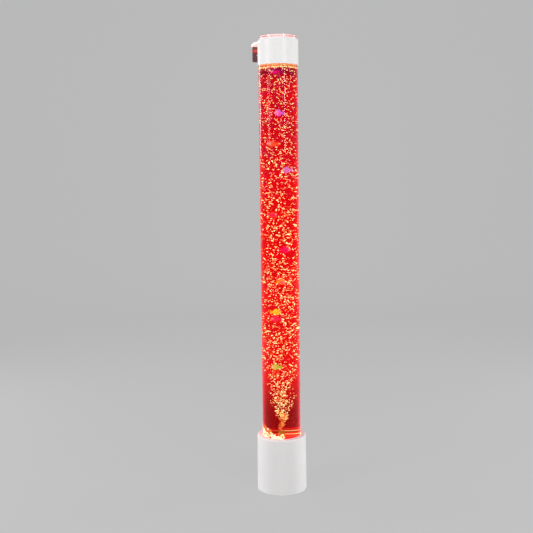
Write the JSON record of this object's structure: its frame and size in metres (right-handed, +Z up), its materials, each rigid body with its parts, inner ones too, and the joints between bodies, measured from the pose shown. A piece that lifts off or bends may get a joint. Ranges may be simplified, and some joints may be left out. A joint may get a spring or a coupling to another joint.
{
  "type": "bubble tube floor lamp",
  "caption": "Tall water-filled clear tube on a lit base with an air bubbler, floating fish, a white top collar and a clear lid with a wall bracket.",
  "frame": {"origin": "middle of the base on the floor, at the underside of the centre foot", "axes": "+Z up along the tube, +Y towards the wall that the lid's bracket is screwed to, +X to the right when the lamp is seen with the wall behind it"},
  "size_m": [0.2044, 0.2872, 1.83],
  "materials": {
    "white_gloss": "smooth satin-gloss moulded white plastic",
    "grey_plastic": "fine matt moulded grey plastic",
    "black_rubber": "matt soft rubber",
    "steel_zinc": "bright zinc plate",
    "sink_aluminium": "turned bare aluminium",
    "board_green": "solder-masked circuit board",
    "lamp_white": "lamp packages, lit red; emissive",
    "black_plastic": "matt black moulded plastic",
    "button_grey": "matt moulded button cap",
    "pump_grey": "matt moulded pump housing",
    "hose_clear": "milky silicone hose",
    "valve_white": "gloss moulded valve body",
    "wire_red": "flexible insulated leads",
    "brass": "machined brass",
    "air_stone_mineral": "coarse sintered mineral",
    "clear_acrylic": "polished clear acrylic",
    "clear_lid": "polished clear acrylic plate with flame-polished edges",
    "fish_01_paint": "moulded plastic in two painted tones",
    "fish_02_paint": "moulded plastic in two painted tones",
    "fish_03_paint": "moulded plastic in two painted tones",
    "fish_04_paint": "moulded plastic in two painted tones",
    "fish_05_paint": "moulded plastic in two painted tones",
    "fish_06_paint": "moulded plastic in two painted tones",
    "fish_07_paint": "moulded plastic in two painted tones",
    "fish_08_paint": "moulded plastic in two painted tones",
    "fish_09_paint": "moulded plastic in two painted tones",
    "fish_10_paint": "moulded plastic in two painted tones"
  },
  "bodies": {
    "base": {"base_shell": "white_gloss", "top_collar": "white_gloss", "socket_panel": "white_gloss", "base_plate": "grey_plastic", "tube_seat": "grey_plastic", "rubber_feet": "black_rubber", "pump_mounts": "black_rubber", "fitting_seal": "black_rubber", "base_screws": "steel_zinc", "seat_screws": "steel_zinc", "heat_sink_screws": "steel_zinc", "jack_nut": "steel_zinc", "heat_sink": "sink_aluminium", "led_board": "board_green", "control_board": "board_green", "button_board": "board_green", "led_chips": "lamp_white", "dc_jack": "black_plastic", "button_switches": "black_plastic", "board_components": "black_plastic", "pump_body": "pump_grey", "pump_cover": "pump_grey", "air_hose_lower": "hose_clear", "air_hose_upper": "hose_clear", "check_valve": "valve_white", "wiring": "wire_red", "bubbler_fitting": "brass", "fitting_nut": "brass", "air_stone": "air_stone_mineral", "tube_floor": "clear_acrylic", "tube": "clear_acrylic"},
    "power_button": {"power_button": "button_grey"},
    "light_button": {"light_button": "button_grey"},
    "lid": {"lid_plate": "clear_lid", "locating_ring": "clear_lid", "wall_flange": "clear_lid"},
    "fish_01": {"fish_01": "fish_01_paint"},
    "fish_02": {"fish_02": "fish_02_paint"},
    "fish_03": {"fish_03": "fish_03_paint"},
    "fish_04": {"fish_04": "fish_04_paint"},
    "fish_05": {"fish_05": "fish_05_paint"},
    "fish_06": {"fish_06": "fish_06_paint"},
    "fish_07": {"fish_07": "fish_07_paint"},
    "fish_08": {"fish_08": "fish_08_paint"},
    "fish_09": {"fish_09": "fish_09_paint"},
    "fish_10": {"fish_10": "fish_10_paint"}
  },
  "joints": [
    {"name": "lid_lift", "type": "slide", "parent": "base", "child": "lid", "axis": [0, 0, 1], "range_m": [0, 0.06]},
    {"name": "power_button_press", "type": "slide", "parent": "base", "child": "power_button", "axis": [0, -1, 0], "range_m": [0, 0.0015], "stiffness_N_per_m": 300},
    {"name": "light_button_press", "type": "slide", "parent": "base", "child": "light_button", "axis": [0, -1, 0], "range_m": [0, 0.0015], "stiffness_N_per_m": 300},
    {"name": "fish_01_swim", "type": "slide", "parent": "base", "child": "fish_01", "axis": [0, 0, 1], "range_m": [-1.271, 0.163]},
    {"name": "fish_02_swim", "type": "slide", "parent": "base", "child": "fish_02", "axis": [0, 0, 1], "range_m": [-1.16, 0.284]},
    {"name": "fish_03_swim", "type": "slide", "parent": "base", "child": "fish_03", "axis": [0, 0, 1], "range_m": [-1.052, 0.386]},
    {"name": "fish_04_swim", "type": "slide", "parent": "base", "child": "fish_04", "axis": [0, 0, 1], "range_m": [-0.879, 0.565]},
    {"name": "fish_05_swim", "type": "slide", "parent": "base", "child": "fish_05", "axis": [0, 0, 1], "range_m": [-0.73, 0.704]},
    {"name": "fish_06_swim", "type": "slide", "parent": "base", "child": "fish_06", "axis": [0, 0, 1], "range_m": [-0.611, 0.833]},
    {"name": "fish_07_swim", "type": "slide", "parent": "base", "child": "fish_07", "axis": [0, 0, 1], "range_m": [-0.482, 0.956]},
    {"name": "fish_08_swim", "type": "slide", "parent": "base", "child": "fish_08", "axis": [0, 0, 1], "range_m": [-0.45, 0.984]},
    {"name": "fish_09_swim", "type": "slide", "parent": "base", "child": "fish_09", "axis": [0, 0, 1], "range_m": [-0.257, 1.181]},
    {"name": "fish_10_swim", "type": "slide", "parent": "base", "child": "fish_10", "axis": [0, 0, 1], "range_m": [-1.444, 0]}
  ]
}
